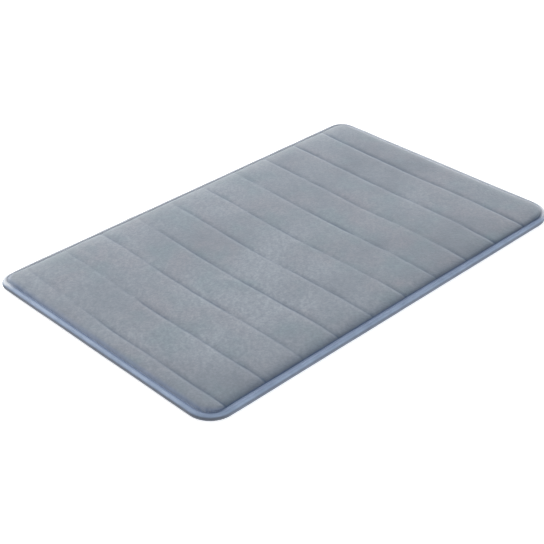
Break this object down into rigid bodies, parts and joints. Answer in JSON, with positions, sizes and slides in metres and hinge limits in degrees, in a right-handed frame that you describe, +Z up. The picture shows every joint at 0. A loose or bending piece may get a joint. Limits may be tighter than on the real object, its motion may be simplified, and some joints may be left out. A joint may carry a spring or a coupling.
{
  "type": "bath mat",
  "caption": "Rectangular padded bath mat with rounded corners, a plush fleece face pressed with parallel channels, a foam core, a dotted non-slip back and a taped edge.",
  "frame": {"origin": "on the floor under the middle of the mat, at the level of the grip dots and the underside of the binding", "axes": "+X along the long side, towards the end with the full-width last strip; +Y along the short side; +Z up"},
  "size_m": [0.8, 0.5, 0.018],
  "materials": {
    "fleece": "brushed short plush pile, soft sheen",
    "foam": "matt open-cell foam",
    "backing": "matt plain-woven cloth",
    "grip_dots": "satin soft plastic",
    "binding_tape": "brushed ribbed knit tape",
    "thread": "twisted polyester sewing thread"
  },
  "bodies": {
    "root": {"face_fleece": "fleece", "foam_core": "foam", "backing_cloth": "backing", "grip_dots": "grip_dots", "edge_binding": "binding_tape", "binding_needle_thread": "thread", "binding_bobbin_thread": "thread"}
  },
  "joints": []
}
